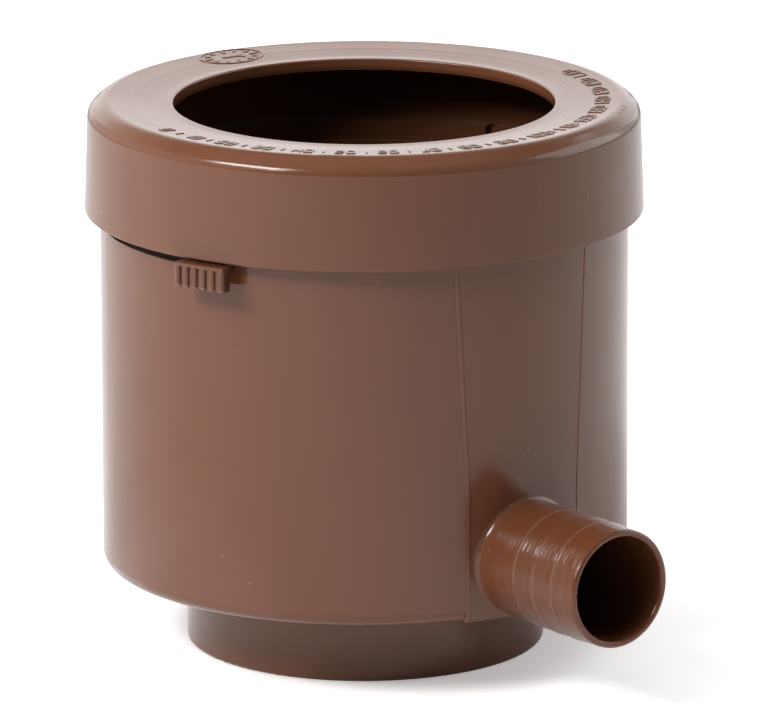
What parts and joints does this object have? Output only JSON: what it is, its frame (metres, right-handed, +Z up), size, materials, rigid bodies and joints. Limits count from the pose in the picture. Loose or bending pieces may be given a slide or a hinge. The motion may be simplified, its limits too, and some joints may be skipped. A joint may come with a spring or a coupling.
{
  "type": "downpipe rain diverter",
  "caption": "Round rain-water diverter for a plastic downpipe, with a push-on cap, trough housing, barbed hose nozzle and a turning shutter sleeve moved by a ribbed thumb grip.",
  "frame": {"origin": "centre of the lower end of the spigot, on the downpipe's axis", "axes": "+Z up along the downpipe, +X out along the hose nozzle"},
  "size_m": [0.1911, 0.1572, 0.1544],
  "materials": {
    "cap_plastic": "brown injection moulding, satin with a fine moulded texture",
    "housing_plastic": "brown injection moulding, satin, glossier on the hose nozzle",
    "shutter_plastic": "brown injection moulding, satin"
  },
  "bodies": {
    "housing_and_cap": {"housing": "housing_plastic", "cap": "cap_plastic"},
    "shutter": {"shutter_sleeve": "shutter_plastic"}
  },
  "joints": [
    {"name": "shutter_turn", "type": "hinge", "parent": "housing_and_cap", "child": "shutter", "pos_m": [0, 0, 0.0247], "axis": [0, 0, 1], "range_deg": [-38, 0]}
  ]
}
